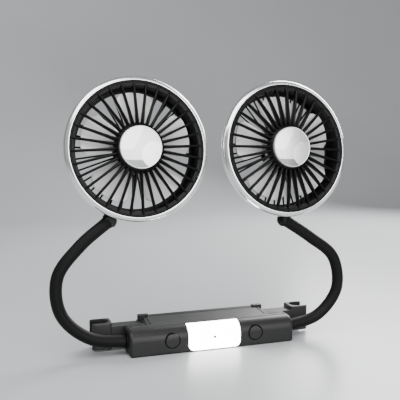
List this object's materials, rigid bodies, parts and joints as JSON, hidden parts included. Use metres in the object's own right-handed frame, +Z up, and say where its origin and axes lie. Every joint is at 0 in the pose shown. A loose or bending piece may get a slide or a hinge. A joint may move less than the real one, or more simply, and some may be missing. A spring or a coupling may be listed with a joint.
{
  "type": "dual-head car fan",
  "caption": "Headrest bar with a lamp window, push buttons and sliding post hooks, carrying round fan heads on bendable necks, one at each end.",
  "frame": {"origin": "middle of the bar's flat underside", "axes": "+X along the bar to the right as seen from the front, +Y back towards the headrest, +Z up; the heads blow towards -Y"},
  "size_m": [0.2345, 0.0416, 0.2029],
  "materials": {
    "charcoal_plastic": "satin",
    "grey_cover": "satin",
    "black_plastic": "satin",
    "silver_plastic": "plated silver",
    "white_blade": "gloss",
    "lamp_white": "frosted",
    "rubber": "matte",
    "steel": "bright",
    "board": "lacquered"
  },
  "bodies": {
    "bar": {"base_feet": "rubber", "base_screws": "steel", "control_board": "board", "indicator_light": "black_plastic", "inlet_board": "board", "lamp_board": "board", "lamp_leds": "lamp_white", "lamp_lens": "lamp_white", "left_hook_spring": "steel", "left_neck_collar": "black_plastic", "left_switch": "black_plastic", "lower_shell": "charcoal_plastic", "power_inlet": "steel", "right_hook_spring": "steel", "right_neck_collar": "black_plastic", "right_switch": "black_plastic", "top_cover": "grey_cover", "upper_shell": "charcoal_plastic"},
    "left_neck_1": {"left_neck_link_1": "rubber"},
    "left_neck_2": {"left_neck_link_2": "rubber"},
    "left_neck_3": {"left_neck_link_3": "rubber"},
    "left_neck_4": {"left_neck_link_4": "rubber"},
    "left_neck_5": {"left_neck_link_5": "rubber"},
    "left_head": {"left_front_bezel": "silver_plastic", "left_rear_rim": "silver_plastic", "left_front_grille": "black_plastic", "left_centre_cap": "silver_plastic", "left_drum": "black_plastic", "left_rear_grille": "black_plastic", "left_motor": "steel", "left_motor_screws": "steel"},
    "left_rotor": {"left_impeller": "white_blade", "left_motor_shaft": "steel"},
    "left_slider": {"left_hook": "charcoal_plastic", "left_jaw_pad": "rubber"},
    "left_push": {"left_button": "charcoal_plastic"},
    "right_neck_1": {"right_neck_link_1": "rubber"},
    "right_neck_2": {"right_neck_link_2": "rubber"},
    "right_neck_3": {"right_neck_link_3": "rubber"},
    "right_neck_4": {"right_neck_link_4": "rubber"},
    "right_neck_5": {"right_neck_link_5": "rubber"},
    "right_head": {"right_front_bezel": "silver_plastic", "right_rear_rim": "silver_plastic", "right_front_grille": "black_plastic", "right_centre_cap": "silver_plastic", "right_drum": "black_plastic", "right_rear_grille": "black_plastic", "right_motor": "steel", "right_motor_screws": "steel"},
    "right_rotor": {"right_impeller": "white_blade", "right_motor_shaft": "steel"},
    "right_slider": {"right_hook": "charcoal_plastic", "right_jaw_pad": "rubber"},
    "right_push": {"right_button": "charcoal_plastic"}
  },
  "joints": [
    {"name": "left_neck_swing", "type": "hinge", "parent": "bar", "child": "left_neck_1", "pos_m": [-0.066, -0.0075, 0.0098], "axis": [1, 0, 0], "range_deg": [-20, 45]},
    {"name": "left_neck_lean", "type": "hinge", "parent": "left_neck_1", "child": "left_neck_2", "pos_m": [-0.09288, -0.0075, 0.01498], "axis": [0, -1, 0], "range_deg": [0, 20]},
    {"name": "left_neck_bow", "type": "hinge", "parent": "left_neck_2", "child": "left_neck_3", "pos_m": [-0.11221, -0.0075, 0.03368], "axis": [1, 0, 0], "range_deg": [-20, 20]},
    {"name": "left_neck_curl", "type": "hinge", "parent": "left_neck_3", "child": "left_neck_4", "pos_m": [-0.11427, -0.0075, 0.06049], "axis": [0, -1, 0], "range_deg": [-3, 20]},
    {"name": "left_head_turn", "type": "hinge", "parent": "left_neck_4", "child": "left_neck_5", "pos_m": [-0.09818, -0.0075, 0.08213], "axis": [0, 0, -1], "range_deg": [-20, 20]},
    {"name": "left_head_nod", "type": "hinge", "parent": "left_neck_5", "child": "left_head", "pos_m": [-0.07693, -0.0075, 0.09956], "axis": [1, 0, 0], "range_deg": [-20, 20]},
    {"name": "left_fan_spin", "type": "hinge", "parent": "left_head", "child": "left_rotor", "pos_m": [-0.05603, -0.01345, 0.15141], "axis": [0.0207, -0.9893, 0.1444], "continuous": true},
    {"name": "left_hook_slide", "type": "slide", "parent": "bar", "child": "left_slider", "axis": [1, 0, 0], "range_m": [0, 0.008], "stiffness_N_per_m": 200, "springref_m": -0.01, "deforming": ["left_hook_spring"]},
    {"name": "left_button_press", "type": "slide", "parent": "bar", "child": "left_push", "axis": [0, 1, 0], "range_m": [0, 0.0008], "stiffness_N_per_m": 600, "springref_m": -0.001},
    {"name": "right_neck_swing", "type": "hinge", "parent": "bar", "child": "right_neck_1", "pos_m": [0.066, -0.0075, 0.0098], "axis": [1, 0, 0], "range_deg": [-20, 45]},
    {"name": "right_neck_lean", "type": "hinge", "parent": "right_neck_1", "child": "right_neck_2", "pos_m": [0.09217, -0.0075, 0.01628], "axis": [0, 1, 0], "range_deg": [0, 20]},
    {"name": "right_neck_bow", "type": "hinge", "parent": "right_neck_2", "child": "right_neck_3", "pos_m": [0.10864, -0.0075, 0.03685], "axis": [1, 0, 0], "range_deg": [-20, 20]},
    {"name": "right_neck_curl", "type": "hinge", "parent": "right_neck_3", "child": "right_neck_4", "pos_m": [0.10459, -0.0075, 0.0629], "axis": [0, 1, 0], "range_deg": [-3, 20]},
    {"name": "right_head_turn", "type": "hinge", "parent": "right_neck_4", "child": "right_neck_5", "pos_m": [0.08376, -0.0075, 0.07987], "axis": [0, 0, 1], "range_deg": [-20, 20]},
    {"name": "right_head_nod", "type": "hinge", "parent": "right_neck_5", "child": "right_head", "pos_m": [0.06106, -0.0075, 0.09472], "axis": [1, 0, 0], "range_deg": [-20, 20]},
    {"name": "right_fan_spin", "type": "hinge", "parent": "right_head", "child": "right_rotor", "pos_m": [0.06042, -0.01333, 0.15064], "axis": [0.0518, -0.9882, 0.1444], "continuous": true},
    {"name": "right_hook_slide", "type": "slide", "parent": "bar", "child": "right_slider", "axis": [-1, 0, 0], "range_m": [0, 0.008], "stiffness_N_per_m": 200, "springref_m": -0.01, "deforming": ["right_hook_spring"]},
    {"name": "right_button_press", "type": "slide", "parent": "bar", "child": "right_push", "axis": [0, 1, 0], "range_m": [0, 0.0008], "stiffness_N_per_m": 600, "springref_m": -0.001}
  ]
}
